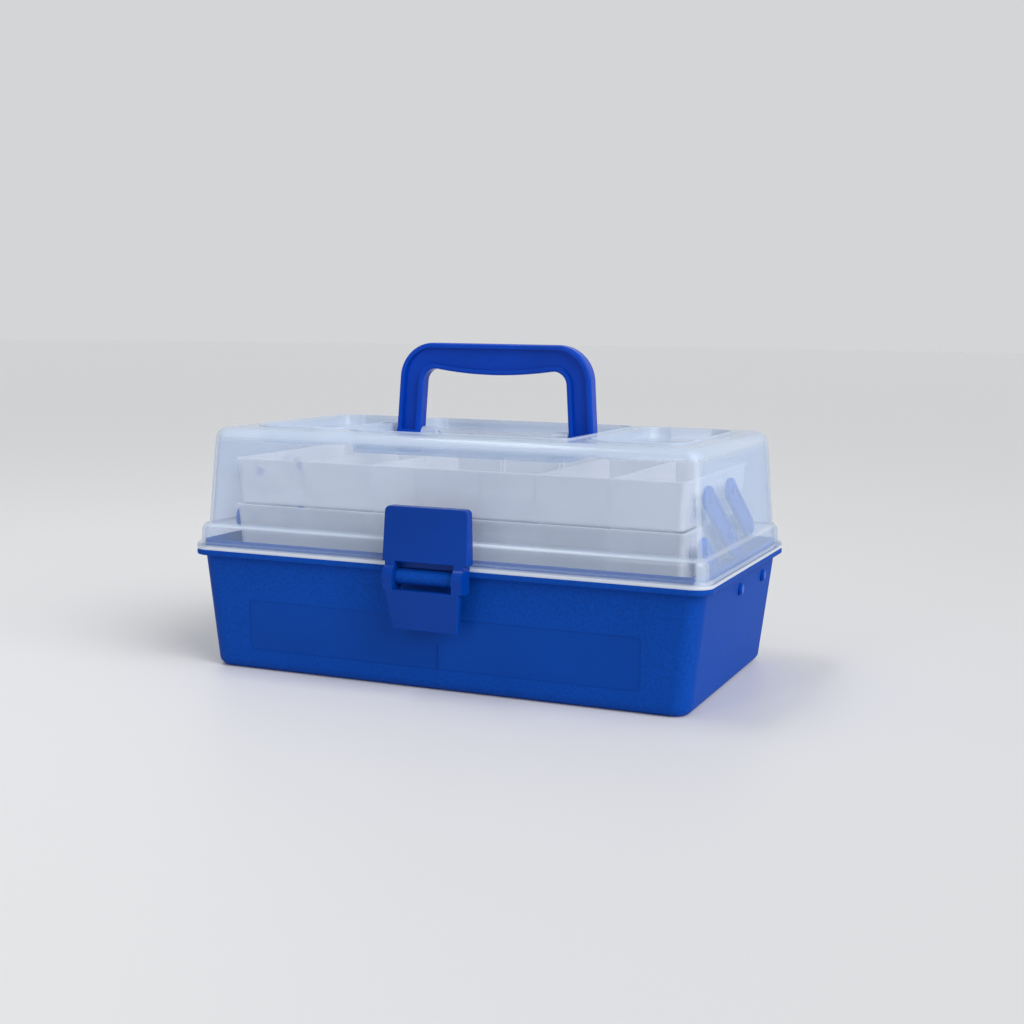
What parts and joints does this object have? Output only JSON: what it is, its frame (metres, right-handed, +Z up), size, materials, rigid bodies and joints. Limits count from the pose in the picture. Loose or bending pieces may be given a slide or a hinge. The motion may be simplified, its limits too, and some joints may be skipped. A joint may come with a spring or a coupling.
{
  "type": "cantilever tackle box",
  "caption": "Portable tackle box with a hinged translucent lid, front rocker latch, folding top handle and stacked trays on cantilever arms.",
  "frame": {"origin": "middle of the flat underside that the box stands on", "axes": "+X along the length to the box's right end, +Y to the hinged rear, +Z up"},
  "size_m": [0.33, 0.2097, 0.202],
  "materials": {
    "base_plastic": "moulded blue polypropylene with a fine spark-eroded grain",
    "lid_plastic": "milky translucent polypropylene, glossy",
    "handle_plastic": "moulded blue plastic, satin gloss",
    "latch_plastic": "moulded blue plastic, satin gloss",
    "tray_plastic": "translucent white polypropylene",
    "arm_plastic": "moulded blue plastic, satin",
    "rivet_plastic": "moulded blue plastic, satin",
    "pin_steel": "plain drawn steel rod"
  },
  "bodies": {
    "base": {"base_tub": "base_plastic", "latch_pin": "pin_steel", "lid_hinge_pin_left": "pin_steel", "lid_hinge_pin_right": "pin_steel", "rivet_base_front_left": "rivet_plastic", "rivet_base_front_right": "rivet_plastic", "rivet_base_rear_left": "rivet_plastic", "rivet_base_rear_right": "rivet_plastic"},
    "lid": {"lid_shell": "lid_plastic"},
    "handle": {"handle": "handle_plastic"},
    "latch": {"latch": "latch_plastic"},
    "tray_lower": {"tray_lower": "tray_plastic", "rivet_lower_front_left": "rivet_plastic", "rivet_lower_front_right": "rivet_plastic", "rivet_lower_middle_left": "rivet_plastic", "rivet_lower_middle_right": "rivet_plastic", "rivet_lower_rear_left": "rivet_plastic", "rivet_lower_rear_right": "rivet_plastic"},
    "tray_upper": {"tray_upper": "tray_plastic", "rivet_upper_front_left": "rivet_plastic", "rivet_upper_front_right": "rivet_plastic", "rivet_upper_rear_left": "rivet_plastic", "rivet_upper_rear_right": "rivet_plastic"},
    "arm_front_left": {"arm_front_left": "arm_plastic"},
    "arm_front_right": {"arm_front_right": "arm_plastic"},
    "arm_long_left": {"arm_long_left": "arm_plastic"},
    "arm_long_right": {"arm_long_right": "arm_plastic"},
    "arm_rear_left": {"arm_rear_left": "arm_plastic"},
    "arm_rear_right": {"arm_rear_right": "arm_plastic"}
  },
  "joints": [
    {"name": "lid_hinge", "type": "hinge", "parent": "base", "child": "lid", "pos_m": [0, 0.0985, 0.0738], "axis": [-1, 0, 0], "range_deg": [0, 120]},
    {"name": "handle_hinge", "type": "hinge", "parent": "lid", "child": "handle", "pos_m": [0, -0.001, 0.144], "axis": [1, 0, 0], "range_deg": [-90, 90]},
    {"name": "latch_hinge", "type": "hinge", "parent": "base", "child": "latch", "pos_m": [0, -0.0987, 0.069], "axis": [1, 0, 0], "range_deg": [0, 15]},
    {"name": "arm_front_left_pivot", "type": "hinge", "parent": "base", "child": "arm_front_left", "pos_m": [-0.151, -0.00298, 0.0605], "axis": [-1, 0, 0], "range_deg": [0, 60]},
    {"name": "arm_long_left_pivot", "type": "hinge", "parent": "base", "child": "arm_long_left", "pos_m": [-0.151, 0.05302, 0.0605], "axis": [-1, 0, 0], "range_deg": [0, 60]},
    {"name": "arm_front_right_pivot", "type": "hinge", "parent": "base", "child": "arm_front_right", "pos_m": [0.151, -0.00298, 0.0605], "axis": [-1, 0, 0], "range_deg": [0, 60]},
    {"name": "arm_long_right_pivot", "type": "hinge", "parent": "base", "child": "arm_long_right", "pos_m": [0.151, 0.05302, 0.0605], "axis": [-1, 0, 0], "range_deg": [0, 60]},
    {"name": "tray_lower_pivot", "type": "hinge", "parent": "arm_long_left", "child": "tray_lower", "pos_m": [-0.151, 0.0014, 0.0903], "axis": [-1, 0, 0], "range_deg": [-60, 0]},
    {"name": "tray_upper_pivot", "type": "hinge", "parent": "arm_long_left", "child": "tray_upper", "pos_m": [-0.151, -0.04831, 0.119], "axis": [-1, 0, 0], "range_deg": [-60, 0]},
    {"name": "arm_rear_left_pivot", "type": "hinge", "parent": "tray_lower", "child": "arm_rear_left", "pos_m": [-0.151, 0.0504, 0.0903], "axis": [-1, 0, 0], "range_deg": [0, 60]},
    {"name": "arm_rear_right_pivot", "type": "hinge", "parent": "tray_lower", "child": "arm_rear_right", "pos_m": [0.151, 0.0504, 0.0903], "axis": [-1, 0, 0], "range_deg": [0, 60]}
  ],
  "couplings": [
    {"joint": "arm_front_left_pivot", "follows": "lid_hinge", "ratio": 0.5},
    {"joint": "arm_long_left_pivot", "follows": "lid_hinge", "ratio": 0.5},
    {"joint": "arm_front_right_pivot", "follows": "lid_hinge", "ratio": 0.5},
    {"joint": "arm_long_right_pivot", "follows": "lid_hinge", "ratio": 0.5},
    {"joint": "tray_lower_pivot", "follows": "lid_hinge", "ratio": -0.5},
    {"joint": "tray_upper_pivot", "follows": "lid_hinge", "ratio": -0.5},
    {"joint": "arm_rear_left_pivot", "follows": "lid_hinge", "ratio": 0.5},
    {"joint": "arm_rear_right_pivot", "follows": "lid_hinge", "ratio": 0.5}
  ]
}
